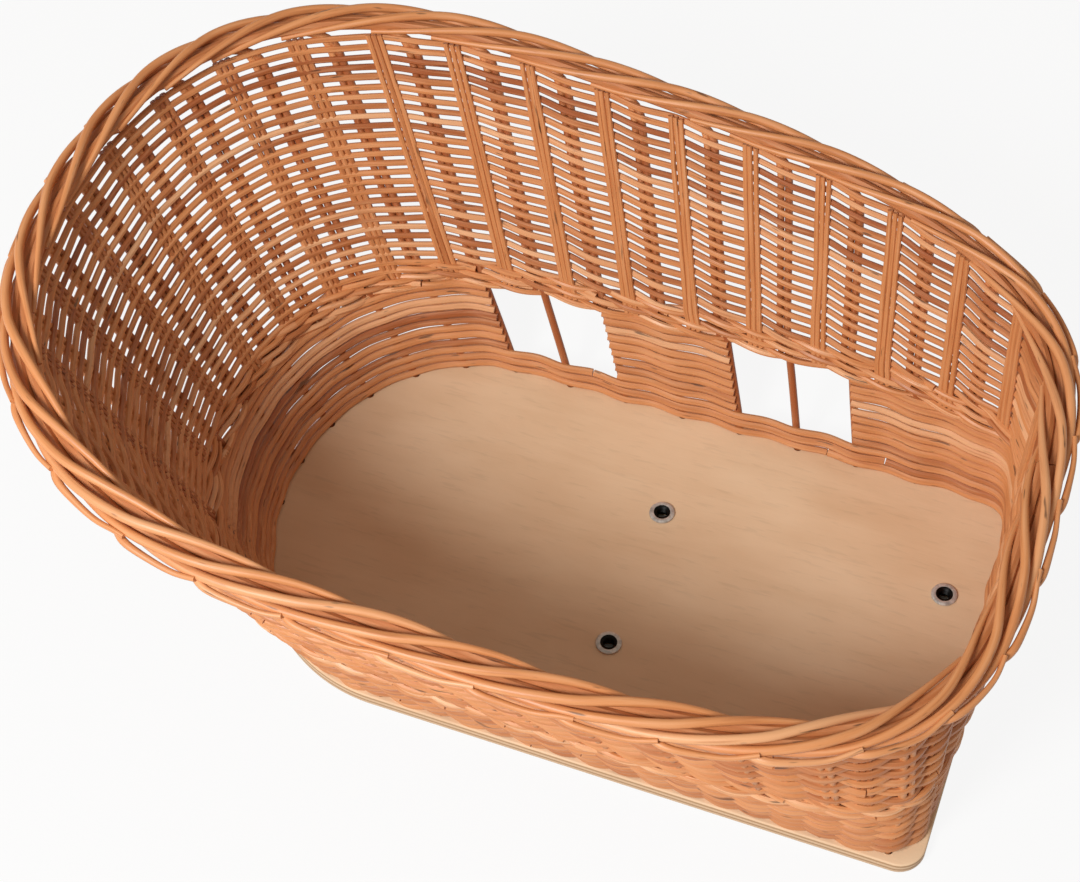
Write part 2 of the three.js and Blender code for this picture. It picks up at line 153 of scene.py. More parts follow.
class Wall:
    """The ruled wall between the board and the rim, with a frame at each place."""

    # Places of the uprights, and how far they lean from the board to the top of the wale
    round_end_spacings = 11
    first_stake = 0.65
    lead = 0.2

    # Powers of the rim's superellipses, and the points that lines are drawn with
    round_power = 2.3
    square_power = 3.4
    corner_points = 24
    end_points = 120
    rim_points = 6001

    # Places between which the rows change, and what they do there
    near_from = (17.5, 20)
    near_to = (31.5, 33)
    covered_from = (10.5, 12.5)
    near_more_swing = 0.5
    covered_less_swing = 0.7

    def __init__(self, sizes):
        self.sizes = sizes
        self.board_top = BOARD_HIGH.z
        self.front = BOARD_HIGH.x
        self.round_x = BOARD_LOW.x + sizes.board_round_end
        self.half_width = (BOARD_HIGH.y - BOARD_LOW.y) / 2
        self.foot_line = self.outline(sizes.wall_inset, sizes.wall_corner)
        self.foot_lengths = distances(self.foot_line)
        self.rim_line = self.rim_plan()
        self.rim_lengths = distances(self.rim_line)
        side = self.half_width - sizes.wall_inset - sizes.wall_corner
        side += sizes.wall_corner * math.pi / 2
        side += self.front - sizes.wall_inset - sizes.wall_corner - self.round_x
        self.side_share = side / self.foot_lengths[-1]
        self.sill_top = self.board_top + sizes.sill
        self.window_top = self.sill_top + sizes.window
        self.wale_top = self.window_top + sizes.wale

    def outline(self, inset, corner):
        """The board's outline drawn in by an inset, anticlockwise from the middle of the square end."""
        front = self.front - inset
        side = self.half_width - inset
        quarter = np.linspace(0, math.pi / 2, self.corner_points)
        half = np.linspace(math.pi / 2, 1.5 * math.pi, self.end_points)
        reach = self.sizes.board_round_end - inset
        middle = np.array([front - corner, side - corner])
        first = middle + corner * np.column_stack([np.cos(quarter), np.sin(quarter)])
        end = np.column_stack([self.round_x + reach * np.cos(half), side * np.sin(half)])
        last = first[::-1] * (1, -1)
        start = [[front, 0]]
        return np.vstack([start, first, end, last, start])

    def rim_plan(self):
        """Plan of the rim: two superellipse halves that meet at the widest place."""
        sizes = self.sizes
        turn = np.linspace(0, 2 * math.pi, self.rim_points)
        along, across = np.cos(turn), np.sin(turn)
        power = 2 / np.where(along < 0, self.round_power, self.square_power)
        reach = np.where(along < 0, sizes.rim_round_end, sizes.rim_length - sizes.rim_round_end)
        widest = sizes.rim_round_end - sizes.rim_length / 2
        x = widest + reach * np.sign(along) * np.abs(along) ** power
        y = sizes.rim_width / 2 * np.sign(across) * np.abs(across) ** power
        return np.column_stack([x, y])

    def share_round(self, place):
        return ((np.asarray(place, float) + self.first_stake) / STAKES) % 1

    def foot(self, place):
        """Foot of the wall on the board. Uprights stand closer together round the round end."""
        spacings = STAKES * self.share_round(place)
        from_end = np.minimum(spacings, STAKES - spacings)
        side_spacings = (STAKES - self.round_end_spacings) / 2
        share = self.side_share * np.minimum(from_end, side_spacings) / side_spacings
        rest = np.maximum(from_end - side_spacings, 0) / (self.round_end_spacings / 2)
        share = share + (0.5 - self.side_share) * rest
        share = np.where(spacings > STAKES / 2, 1 - share, share)
        plan = along_line(self.foot_line, self.foot_lengths, share)
        return np.column_stack([plan, np.full(len(plan), self.board_top)])

    def rim(self, place):
        """Middle of the border."""
        sizes = self.sizes
        plan = along_line(self.rim_line, self.rim_lengths, self.share_round(place))
        middle = (sizes.rim_height_round + sizes.rim_height_square) / 2
        rise = (sizes.rim_height_square - sizes.rim_height_round) / sizes.rim_length
        return np.column_stack([plan, middle + rise * plan[:, 0]])

    def slope_length(self, place):
        return np.linalg.norm(self.rim(place) - self.foot(place), axis=1)

    def share_at(self, place, height):
        """Share of the way up the wall at a height over the floor."""
        return (height - self.board_top) / (self.rim(place)[:, 2] - self.board_top)

    def share_below(self, place, drop):
        """Share of the way up the wall at a distance down from the rim."""
        return 1 - drop / self.slope_length(place)

    def directions(self, place, share):
        """Along the wall, up its slope and out through it."""
        step = 0.02
        share = np.asarray(share)[..., None]
        before = self.foot(place - step) * (1 - share) + self.rim(place - step) * share
        after = self.foot(place + step) * (1 - share) + self.rim(place + step) * share
        along = unit(after - before)
        out = unit(np.cross(along, self.rim(place) - self.foot(place)))
        return along, np.cross(out, along), out

    def points(self, place, share, out=0.0, along=0.0, up=0.0):
        """Points of the wall, moved by distances along its own directions."""
        place = np.asarray(place, float)
        share = np.broadcast_to(np.asarray(share, float), place.shape)
        height = share * (self.rim(place)[:, 2] - self.board_top)
        place = place + self.lead * np.clip(height / (self.wale_top - self.board_top), 0, 1)
        to_side, to_top, to_out = self.directions(place, share)
        middle = self.foot(place) * (1 - share[:, None]) + self.rim(place) * share[:, None]
        moves = [np.broadcast_to(np.asarray(m, float), place.shape)[:, None] for m in (along, up, out)]
        return middle + to_side * moves[0] + to_top * moves[1] + to_out * moves[2]

    def near(self, place):
        """1 on the wall across from the windows, where every second row passes outside the stakes."""
        around = np.asarray(place, float) % STAKES
        return eased(around, *self.near_from) * (1 - eased(around, *self.near_to))

    def covered(self, place):
        """1 round the round end and along the near wall, where the rows hide the bye-stakes."""
        around = np.asarray(place, float) % STAKES
        return eased(around, *self.covered_from) * (1 - eased(around, *self.near_to))

    def turned(self, place, row):
        """How a row swings at a place, as a multiple of its swing inside the stakes."""
        near = self.near(place)
        flat = self.covered(place) * (1 - near)
        side = 1 - 2 * near * (row % 2)
        return side * (1 + self.near_more_swing * near) * (1 - self.covered_less_swing * flat)


def distances(line):
    steps = np.linalg.norm(np.diff(line, axis=0), axis=1)
    return np.concatenate([[0], np.cumsum(steps)])


def along_line(line, lengths, share):
    distance = share * lengths[-1]
    return np.column_stack([np.interp(distance, lengths, line[:, i]) for i in range(line.shape[1])])


def unit(vectors):
    return vectors / np.linalg.norm(vectors, axis=1, keepdims=True)


def eased(value, low, high):
    """0 below low, 1 above high and a smooth rise between."""
    t = np.clip((value - low) / (high - low), 0, 1)
    return t * t * (3 - 2 * t)


def wander(random, places, size, spacing=0.5):
    """A smooth random line of the given size, with a new value every spacing."""
    knots = np.arange(places[0] - spacing, places[-1] + 2 * spacing, spacing)
    values = random.normal(0, size, len(knots))
    return np.interp(places, knots, values)


def rounded(points, passes):
    """A line with its corners worn round, its ends kept."""
    for _ in range(passes):
        middle = 0.25 * points[:-2] + 0.5 * points[1:-1] + 0.25 * points[2:]
        points = np.vstack([points[:1], middle, points[-1:]])
    return points


def evenly(points, step):
    """The same line with points about a step apart."""
    lengths = distances(points)
    count = max(int(lengths[-1] / step), 2)
    return along_line(points, lengths, np.linspace(0, 1, count + 1))


def add_rod(bm, points, radii, tone, sides=8):
    """Sweeps one willow rod along points, with a radius and a tone for all of it or for each point.

    Its map runs in metres along it and once round it. The rings of the two end caps come first in the mesh,
    then the rings along the rod.
    """
    curve = bpy.data.curves.new("rod", "CURVE")
    curve.dimensions = "3D"
    curve.bevel_depth = 1
    curve.bevel_resolution = sides // 2 - 2
    curve.use_fill_caps = True
    line = curve.splines.new("POLY")
    line.points.add(len(points) - 1)
    line.points.foreach_set("co", np.column_stack([points, np.ones(len(points))]).ravel())
    line.points.foreach_set("radius", np.broadcast_to(radii, len(points)))
    holder = bpy.data.objects.new("rod", curve)
    mesh = holder.to_mesh()
    rod_map = np.zeros(2 * len(mesh.loops), np.float32)
    mesh.uv_layers[0].uv.foreach_get("vector", rod_map)
    rod_map[0::2] *= distances(points)[-1]
    mesh.uv_layers[0].uv.foreach_set("vector", rod_map)
    tone = np.broadcast_to(np.asarray(tone, np.float32), len(points))
    rings = np.concatenate([tone[-1:], tone[:1], tone])
    tones = mesh.attributes.new("tone", "FLOAT", "POINT")
    tones.data.foreach_set("value", np.repeat(rings, len(mesh.vertices) // len(rings)))
    bm.from_mesh(mesh)
    holder.to_mesh_clear()
    bpy.data.objects.remove(holder)
    bpy.data.curves.remove(curve)


def finish_piece(bm, name, material, slot, *nodes):
    """Makes a piece of a bmesh, riding on the basket and standing for CAD nodes."""
    bmesh.ops.remove_doubles(bm, verts=bm.verts, dist=1e-7)
    mesh = bpy.data.meshes.new(name)
    bm.to_mesh(mesh)
    bm.free()
    mesh.polygons.foreach_set("use_smooth", np.ones(len(mesh.polygons), bool))
    mesh.set_sharp_from_angle(angle=SHARP_ANGLE)
    mesh.materials.append(material)
    piece = bpy.data.objects.new(name, mesh)
    bpy.context.scene.collection.objects.link(piece)
    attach(piece, "root")
    if nodes:
        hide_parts(*nodes)
    return piece


# Materials


class Nodes:
    """A short way to lay out a material's nodes."""

    def __init__(self, name):
        self.material = bpy.data.materials.new(name)
        self.material.use_nodes = True
        self.tree = self.material.node_tree
        self.shader = self.tree.nodes["Principled BSDF"]

    def add(self, kind, settings=None, **inputs):
        node = self.tree.nodes.new("ShaderNode" + kind)
        for key, value in (settings or {}).items():
            setattr(node, key, value)
        for key, value in inputs.items():
            self.set(node.inputs[key.replace("_", " ")], value)
        return node

    def set(self, socket, value):
        if isinstance(value, bpy.types.NodeSocket):
            self.tree.links.new(value, socket)
        else:
            socket.default_value = value

    def math(self, operation, first, second=0.0):
        node = self.tree.nodes.new("ShaderNodeMath")
        node.operation = operation
        self.set(node.inputs[0], first)
        self.set(node.inputs[1], second)
        return node.outputs[0]

    def ramp(self, value, stops):
        node = self.add("ValToRGB", Fac=value)
        elements = node.color_ramp.elements
        while len(elements) < len(stops):
            elements.new(0.5)
        for element, (place, shade) in zip(elements, stops):
            element.position = place
            element.color = (*shade, 1)
        return node.outputs["Color"]

    def mix(self, blend, factor, first, second):
        node = self.add("Mix", {"data_type": "RGBA", "blend_type": blend})
        self.set(node.inputs["Factor"], factor)
        self.set(node.inputs["A"], first)
        self.set(node.inputs["B"], second)
        return node.outputs["Result"]


def grey(value):
    return (value, value, value)


def willow_material(name, colours, shade):
    """Boiled and peeled willow: one tone to a rod, streaks along it, dark bud marks and a satin skin."""
    # A shade below 1 scales the rod colours down into a darker copy of the willow: painted shade
    nodes = Nodes(name)
    tone = nodes.add("Attribute", {"attribute_name": "tone"}).outputs["Fac"]
    rod_map = nodes.add("SeparateXYZ", Vector=nodes.add("UVMap", {"uv_map": "UVMap"}).outputs["UV"])
    turn = nodes.math("MULTIPLY", rod_map.outputs["Y"], 2 * math.pi)
    along = rod_map.outputs["X"]
    round_x = nodes.math("COSINE", turn)
    round_y = nodes.math("SINE", turn)
    seed_spread = 61
    pale_share, dark_share = 0.4, 0.45
    seed = nodes.math("MULTIPLY", tone, seed_spread)

    def grain(stretch, scale, detail):
        place = nodes.add("CombineXYZ", X=nodes.math("MULTIPLY", along, stretch), Y=round_x, Z=round_y)
        noise = nodes.add(
            "TexNoise", {"noise_dimensions": "4D"},
            Vector=place.outputs[0], W=seed, Scale=scale, Detail=detail,
        )
        return noise.outputs["Fac"]

    stops = [
        (0, colours.willow_dark),
        (0.28, colours.willow),
        (0.72, colours.willow),
        (1, colours.willow_pale),
    ]
    body = nodes.ramp(tone, [(place, tuple(shade * c for c in stop)) for place, stop in stops])
    streaks = grain(stretch=22, scale=1.3, detail=4)
    pale = nodes.ramp(streaks, [(0.5, grey(0)), (0.72, grey(1))])
    body = nodes.mix("MIX", nodes.math("MULTIPLY", pale, pale_share), body, (*colours.willow_pale, 1))
    dark = nodes.ramp(streaks, [(0.3, grey(1)), (0.46, grey(0))])
    body = nodes.mix("MIX", nodes.math("MULTIPLY", dark, dark_share), body, (*colours.willow_dark, 1))
    spots = nodes.ramp(grain(stretch=70, scale=0.9, detail=1), [(0.25, grey(0.35)), (0.32, grey(1))])
    body = nodes.mix("MULTIPLY", 1.0, body, spots)
    nodes.set(nodes.shader.inputs["Base Color"], body)
    rough = nodes.add("MapRange", Value=streaks, To_Min=0.38, To_Max=0.6)
    nodes.set(nodes.shader.inputs["Roughness"], rough.outputs["Result"])
    fibres = grain(stretch=30, scale=3.5, detail=3)
    bump = nodes.add("Bump", Strength=0.35, Distance=0.4 * MM, Height=fibres)
    nodes.set(nodes.shader.inputs["Normal"], bump.outputs["Normal"])
    nodes.shader.inputs["Specular IOR Level"].default_value = 0.7
    return nodes.material


def plywood_material(colours, board_top):
    """Sanded birch plywood: long soft grain and blotches on the faces, dark glue lines on the edge."""
    plies = 5
    glue_line = (0.42, 0.25, 0.13)
    end_grain = (0.66, 0.47, 0.3)
    nodes = Nodes("sanded_plywood")
    place = nodes.add("TexCoord").outputs["Object"]
    stretched = nodes.add("Mapping", Vector=place, Scale=(3, 16, 3)).outputs["Vector"]
    grain = nodes.add("TexNoise", Vector=stretched, Scale=2.2, Detail=6, Roughness=0.6, Distortion=0.6)
    blotch = nodes.add("TexNoise", Vector=place, Scale=9, Detail=3).outputs["Fac"]
    fleck = nodes.add("Mapping", Vector=place, Scale=(60, 420, 60)).outputs["Vector"]
    flecks = nodes.add("TexNoise", Vector=fleck, Scale=1, Detail=2).outputs["Fac"]
    dark = nodes.ramp(grain.outputs["Fac"], [(0.35, grey(0)), (0.7, grey(1))])
    body = nodes.mix("MIX", dark, (*colours.plywood, 1), (*colours.plywood_dark, 1))
    body = nodes.mix("SOFT_LIGHT", 0.35, body, nodes.ramp(blotch, [(0.3, grey(0.25)), (0.7, grey(0.8))]))
    body = nodes.mix("MULTIPLY", 0.5, body, nodes.ramp(flecks, [(0.3, grey(0.86)), (0.42, grey(1))]))
    height = nodes.add("SeparateXYZ", Vector=place).outputs["Z"]
    layer = nodes.math("MULTIPLY", height, plies / board_top)
    band = nodes.math("PINGPONG", layer, 1.0)
    facing = nodes.add("SeparateXYZ", Vector=nodes.add("NewGeometry").outputs["True Normal"]).outputs["Z"]
    edge = nodes.math("LESS_THAN", nodes.math("ABSOLUTE", facing), 0.5)
    layers = nodes.ramp(band, [(0.42, glue_line), (0.5, end_grain)])
    body = nodes.mix("MIX", edge, body, layers)
    nodes.set(nodes.shader.inputs["Base Color"], body)
    nodes.shader.inputs["Roughness"].default_value = 0.62
    bump = nodes.add("Bump", Strength=0.2, Distance=0.3 * MM, Height=flecks)
    nodes.set(nodes.shader.inputs["Normal"], bump.outputs["Normal"])
    return nodes.material


def steel_material(name, colour_of_steel, metallic):
    """Plated steel with dull patches."""
    nodes = Nodes(name)
    place = nodes.add("TexCoord").outputs["Object"]
    patches = nodes.add("TexNoise", Vector=place, Scale=420, Detail=4).outputs["Fac"]
    shades = [(0.3, tuple(0.55 * c for c in colour_of_steel)), (0.7, tuple(colour_of_steel))]
    nodes.set(nodes.shader.inputs["Base Color"], nodes.ramp(patches, shades))
    rough = nodes.add("MapRange", Value=patches, To_Min=0.3, To_Max=0.55)
    nodes.set(nodes.shader.inputs["Roughness"], rough.outputs["Result"])
    nodes.shader.inputs["Metallic"].default_value = metallic
    return nodes.material


# Operators


class BASKET_OT_board(bpy.types.Operator):
    """Cut the plywood floor with its stake holes and bolt holes"""

    bl_idname = "basket.add_board"
    bl_label = "Floor Board"

    stake_clearance = 0.3 * MM
    stake_hole_sides = 16
    bolt_hole_radius = 5.2 * MM
    bolt_hole_sides = 32
    corner_angle = math.radians(60)

    def execute(self, context):
        sizes = context.scene.basket_sizes
        wall = Wall(sizes)
        bm = bmesh.new()
        outline = wall.outline(0, sizes.board_corner)[1:-1]
        corners = [bm.verts.new((x, y, 0)) for x, y in outline]
        for first, second in zip(corners, corners[1:] + corners[:1]):
            bm.edges.new((first, second))
        stakes = wall.points(np.arange(STAKES, dtype=float), 0.0, out=sizes.foot_shift)
        stake_hole_radius = sizes.stake / 2 + self.stake_clearance
        holes = [(point[0], point[1], stake_hole_radius, self.stake_hole_sides) for point in stakes]
        for node in NUT_NODES:
            low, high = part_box(node)
            x, y = (low.x + high.x) / 2, (low.y + high.y) / 2
            holes.append((x, y, self.bolt_hole_radius, self.bolt_hole_sides))
        for x, y, radius, segments in holes:
            bmesh.ops.create_circle(
                bm, segments=segments, radius=radius, matrix=Matrix.Translation((x, y, 0)), cap_ends=False
            )
        bmesh.ops.triangle_fill(bm, use_beauty=True, edges=bm.edges, normal=(0, 0, 1))
        grown = bmesh.ops.extrude_face_region(bm, geom=bm.faces[:], use_keep_orig=True)
        raised = [item for item in grown["geom"] if isinstance(item, bmesh.types.BMVert)]
        bmesh.ops.translate(bm, verts=raised, vec=(0, 0, wall.board_top))
        bmesh.ops.recalc_face_normals(bm, faces=bm.faces)
        sharp = [edge for edge in bm.edges if edge.calc_face_angle(0) > self.corner_angle]
        sharp = [edge for edge in sharp if abs(edge.verts[0].co.z - edge.verts[1].co.z) < wall.board_top / 2]
        outer = {vert.co.xy.copy().freeze() for vert in corners}
        sharp = [edge for edge in sharp if all(v.co.xy.copy().freeze() in outer for v in edge.verts)]
        bmesh.ops.bevel(
            bm, geom=sharp, offset=sizes.board_edge, segments=3, profile=0.5, affect="EDGES", material=-1
        )
        material = plywood_material(context.scene.basket_colours, wall.board_top)
        finish_piece(bm, "floor_board", material, "plywood", "base_board")
        return {"FINISHED"}


class BASKET_OT_nuts(bpy.types.Operator):
    """Turn the four tee nuts that a carrier's screws go into"""

    bl_idname = "basket.add_nuts"
    bl_label = "Tee Nuts"

    barrel = 4.8 * MM
    seat_gap = 0.1 * MM
    thread_pitch = 1 * MM
    thread_depth = 0.45 * MM
    thread_start = 1.1 * MM
    thread_margin = 1.5 * MM
    # The bore and the mouth round it take the near-black steel: painted shade inside the hole
    painted_shade_rim = 1.8 * MM
    turn_steps = 40

    def execute(self, context):
        sizes = context.scene.basket_sizes
        colours = context.scene.basket_colours
        bright = steel_material("plated_steel", colours.steel, metallic=0.6)
        # Near-black steel for the bores: painted shade
        dark = steel_material("bore_painted_shade", colours.bore_painted_shade, metallic=1.0)
        painted_shade_reach = sizes.nut_bore / 2 + self.painted_shade_rim
        for node in NUT_NODES:
            low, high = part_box(node)
            bm = self.turned(sizes, low.z, high.z)
            for face in bm.faces:
                face.material_index = int(face.calc_center_median().xy.length < painted_shade_reach)
            bmesh.ops.translate(bm, verts=bm.verts, vec=((low.x + high.x) / 2, (low.y + high.y) / 2, 0))
            sleeve = finish_piece(bm, node.replace("tee_nut", "screw_sleeve"), bright, "tee_nut_steel", node)
            sleeve.data.materials.append(dark)
        return {"FINISHED"}

    def turned(self, sizes, bottom, top):
        """A flanged sleeve with a rounded flange and a threaded bore."""
        bore = sizes.nut_bore / 2
        root = bore + self.thread_depth
        flange = sizes.nut_flange / 2
        seat = BOARD_HIGH.z + self.seat_gap
        pitch = self.thread_pitch
        # Up the barrel, out under the flange and in over it to the mouth of the bore
        profile = [
            (self.barrel, bottom),
            (self.barrel, seat),
            (flange - 0.3 * MM, seat),
            (flange, seat + 0.4 * MM),
            (flange - 0.2 * MM, top - 0.3 * MM),
            (flange - 0.9 * MM, top),
            (bore + 1.9 * MM, top),
            (bore + 1.2 * MM, top - 0.3 * MM),
        ]
        turns = int((top - bottom - self.thread_margin) / pitch)
        for turn in range(turns):
            crest = top - self.thread_start - turn * pitch
            profile += [(bore, crest), (root, crest - pitch / 2)]
        profile += [(root, bottom)]
        bm = bmesh.new()
        ring = [bm.verts.new((x, 0, z)) for x, z in profile]
        edges = [bm.edges.new((a, b)) for a, b in zip(ring, ring[1:] + ring[:1])]
        bmesh.ops.spin(
            bm, geom=ring + edges, axis=(0, 0, 1), cent=(0, 0, 0),
            angle=2 * math.pi, steps=self.turn_steps, use_merge=True,
        )
        bmesh.ops.remove_doubles(bm, verts=bm.verts, dist=1e-6)
        bmesh.ops.recalc_face_normals(bm, faces=bm.faces)
        return bm


def upright_line(wall, place, side, bottom, top_drop, offset, random):
    """Points of one upright from a height over the floor to a drop under the rim.

    Side 1 is for a stake, outside the weave. Side -1 is for a bye-stake, inside the weave or, where the rows
    hide it, a little outside the middle of the wall.
    """
    count = 60
    foot_rise = 12 * MM
    sway_size, sway_spacing, sway_span = 0.25 * MM, 0.75, 3
    inside, hidden = -0.7, 0.4
    near_less = 0.7
    place_at = np.full(1, float(place))
    low = wall.share_at(place_at, bottom)[0]
    high = wall.share_below(place_at, top_drop)[0]
    shares = np.linspace(low, high, count)
    places = np.full(count, float(place))
    sizes = wall.sizes
    heights = shares * (wall.rim(place_at)[0, 2] - wall.board_top)
    out = sizes.foot_shift + (sizes.upright_shift - sizes.foot_shift) * eased(heights, 0, foot_rise)
    sway = wander(random, np.linspace(0, sway_span, count), sway_size, sway_spacing)
    if side < 0:
        out = out * ((hidden - inside) * wall.covered(place) + inside)
    out = out * (1 - near_less * wall.near(place))
    return wall.points(places, shares, out=out, along=offset + sway)


class BASKET_OT_stakes(bpy.types.Operator):
    """Stand the stakes in the board and lay them down round the rim as the border"""

    bl_idname = "basket.add_stakes"
    bl_label = "Stakes and Border"

    # The rope: how far a stake is laid, in places, and where past its bend it changes
    strands = 5
    laid_points = 100
    laid_from = 0.25
    laid_to = 4.4
    laid_spread = 0.3
    laid_step = 43 * MM
    bend_drop = 15 * MM
    strand_change = (-30 * MM, 10 * MM)
    tone_change = (-40 * MM, 0)
    tip_length = 80 * MM
    tip_loss = 0.45
    lay_in = 0.85
    lay_spread = 0.04

    # The second rod's smooth edge, in places, and its drop and tail as shares of the border and a strand
    edge_points = 50
    edge_from = 0.2
    edge_to = 1.45
    edge_spread = 0.1
    edge_rise = (0.1, 0.5)
    edge_drop = 0.3
    edge_gap = 0.5 * MM
    tail_from = 1.1
    tail_in = 0.5
    tail_up = 0.6

    # Every rod, its foot and its tones
    foot_gap = 0.4 * MM
    second_foot = 0.2
    rod_step = 2.6 * MM
    rounding = 6
    rod_sides = 10
    thickness = (0.95, 1.05)
    # The far tone is painted shade: on every wall but the near one, a stake's upright part takes the darkest
    # tone, as if shaded behind the rows
    far_tone, near_tone = 0, 0.45
    laid_tones = (0.25, 0.9)

    # The core's rods, under the strands
    core_points = 24
    core_places = (-5.5 * MM, 0.8 * MM)
    core_lift = -1.5 * MM
    core_radius = 3.3 * MM
    core_tone = 0.15

    def execute(self, context):
        sizes = context.scene.basket_sizes
        wall = Wall(sizes)
        material = willow_material("stake_willow", context.scene.basket_colours, 1.0)
        random = np.random.default_rng(11)
        for stake, node in enumerate(STAKE_NODES):
            bm = bmesh.new()
            self.add_stake(bm, wall, stake, random, False)
            self.add_stake(bm, wall, stake, random, True)
            finish_piece(bm, node.replace("stake", "stake_pair"), material, "stake_willow", node)
        bm = bmesh.new()
        places = np.linspace(0, STAKES - ROD_GAP, self.core_points * STAKES)
        for across in self.core_places:
            line = wall.points(places, 1.0, out=across, up=self.core_lift)
            add_rod(bm, line, self.core_radius, self.core_tone)
        finish_piece(bm, "border_core", material, "stake_willow")
        return {"FINISHED"}

    def add_stake(self, bm, wall, stake, random, second):
        """One rod of a stake pair: up the wall, then along the border and tapered to a tip."""
        sizes = wall.sizes
        radius = (sizes.second_stake if second else sizes.stake) / 2
        offset = 0.5 * (sizes.stake + sizes.second_stake) if second else 0
        bottom = wall.window_top + self.second_foot * sizes.wale if second else wall.board_top
        upright = upright_line(wall, stake, 1, bottom, self.bend_drop, offset, random)
        if not second:
            upright = np.vstack([upright[0] - (0, 0, wall.board_top - self.foot_gap), upright])
        laid, line = (self.edge if second else self.twist)(wall, stake, random)
        line = rounded(evenly(np.vstack([upright, line]), self.rod_step), self.rounding)
        done = distances(line)
        past_bend = done - (done[-1] - self.laid_step * laid)
        thick = radius + (sizes.strand / 2 - radius) * eased(past_bend, *self.strand_change)
        slim = 1 - self.tip_loss * eased(done, done[-1] - self.tip_length, done[-1])
        # Painted shade: the darkest tone on the uprights of all but the near wall
        upright_tone = self.far_tone if upright[-1][1] > BOARD_LOW.y / 3 else self.near_tone
        laid_tone = random.uniform(*self.laid_tones)
        tone = upright_tone + (laid_tone - upright_tone) * eased(past_bend, *self.tone_change)
        add_rod(bm, line, thick * slim * random.uniform(*self.thickness), tone, self.rod_sides)

    def twist(self, wall, stake, random):
        """A strand of the rope: from under the border round its outside and over to its inside."""
        sizes = wall.sizes
        end = self.laid_to + random.uniform(-self.laid_spread, self.laid_spread)
        laid = np.linspace(self.laid_from, end, self.laid_points)
        turn = 2 * math.pi * laid / self.strands - math.pi / 2
        inside = sizes.border_width / 2 - sizes.strand / 2
        outside = inside - self.lay_in * sizes.strand
        across = np.cos(turn) * np.where(np.cos(turn) < 0, inside, outside)
        across = across * (1 + self.lay_spread * random.normal())
        upward = (sizes.border_height / 2 - sizes.strand / 2) * np.sin(turn)
        return laid[-1], wall.points(stake + laid, 1.0, out=across, up=upward)

    def edge(self, wall, stake, random):
        """A length of the smooth rod along the border's outer edge, which ends on the next one."""
        sizes = wall.sizes
        end = self.edge_to + random.uniform(-self.edge_spread, self.edge_spread)
        laid = np.linspace(self.edge_from, end, self.edge_points)
        rise = eased(laid, *self.edge_rise)
        tail = eased(laid, self.tail_from, self.edge_to)
        outside = sizes.border_width / 2 - sizes.strand / 2 + self.edge_gap
        across = outside * rise - self.tail_in * sizes.strand * tail
        upward = self.edge_drop * sizes.border_height * (rise - 1) + self.tail_up * sizes.strand * tail
        return laid[-1], wall.points(stake + laid, 1.0, out=across, up=upward)


class BASKET_OT_bye_stakes(bpy.types.Operator):
    """Stand the bye-stakes between the stakes, three rods to each"""

    bl_idname = "basket.add_bye_stakes"
    bl_label = "Bye-stakes"

    border_gap = 1 * MM
    foot = 0.3
    closeness = 0.97
    hidden_wider = 0.2
    # Where the rows hide a bye-stake its tone is darkened: painted shade behind the rows
    hidden_painted_shade = 0.7
    tones = (0.25, 0.6)
    rod_tones = (-0.1, 0.1)
    thickness = (0.95, 1.05)
    taper = (1.05, 0.95)

    def execute(self, context):
        sizes = context.scene.basket_sizes
        wall = Wall(sizes)
        # 0.97 makes a darker copy of the willow: painted shade on the bye-stakes
        material = willow_material("bye_stake_willow", context.scene.basket_colours, 0.97)
        random = np.random.default_rng(23)
        bm = bmesh.new()
        radius = sizes.bye_stake / 2
        drop = sizes.border_height / 2 + self.border_gap
        foot = wall.window_top + self.foot * sizes.wale
        for stake in range(STAKES):
            place = stake + 0.5
            covered = wall.covered(place)
            # Painted shade: hidden bye-stakes are darkened
            tone = random.uniform(*self.tones) * (1 - self.hidden_painted_shade * covered)
            wider = 1 + self.hidden_wider * covered * (1 - wall.near(place))
            for rod in (-1, 0, 1):
                offset = rod * sizes.bye_stake * self.closeness * wider
                line = upright_line(wall, place, -1, foot, drop, offset, random)
                slim = np.linspace(*self.taper, len(line)) * random.uniform(*self.thickness)
                add_rod(bm, line, radius * wider * slim, tone + random.uniform(*self.rod_tones))
        finish_piece(bm, "bye_stakes", material, "weaver_willow")
        return {"FINISHED"}


def weave_row(bm, wall, random, start, end, share_of, radius, swing, row):
    """Weaves rods end to end along one row, in and out of the uprights as the wall has it.

    On the near wall the rods are thicker and drawn towards one low tone, darker still past the round end:
    painted shade on that wall.
    """
    rod_places, shortest = (12, 22), 4
    points_to_place = 16
    thickness = (0.95, 1.05)
    depth_wander, lift_wander = 0.15 * MM, 0.2 * MM
    butt, tip = 1.06, 0.92
    near_thicker, near_even = 0.2, 0.7
    # The near wall's low even tone and its drop past the round end are painted shade
    near_tone, near_painted_shade, painted_shade_from = 0.3, 0.13, (20, 22)
    place = start
    while place < end - ROW_REST:
        until = min(place + random.uniform(*rod_places), end)
        until = end if end - until < shortest else math.floor(until) + 0.5
        places = np.linspace(place, until, max(int((until - place) * points_to_place), 4))
        depth = -swing * wall.turned(places, row) * np.cos(2 * math.pi * places)
        depth = depth + wander(random, places, depth_wander)
        lift = wander(random, places, lift_wander)
        line = wall.points(places, share_of(places), out=depth, up=lift)
        thick = radius * random.uniform(*thickness)
        taper = np.linspace(butt, tip, len(line))
        if random.random() < 0.5:
            taper = taper[::-1]
        near = wall.near(places)
        tone = random.uniform(0, 1)
        # Painted shade: near rows are drawn to a low tone that darkens past the round end
        shaded_even_tone = near_tone - near_painted_shade * eased(places % STAKES, *painted_shade_from)
        tone = tone + (shaded_even_tone - tone) * near_even * near
        add_rod(bm, line, thick * taper * (1 + near_thicker * near), tone)
        place = until + ROD_GAP


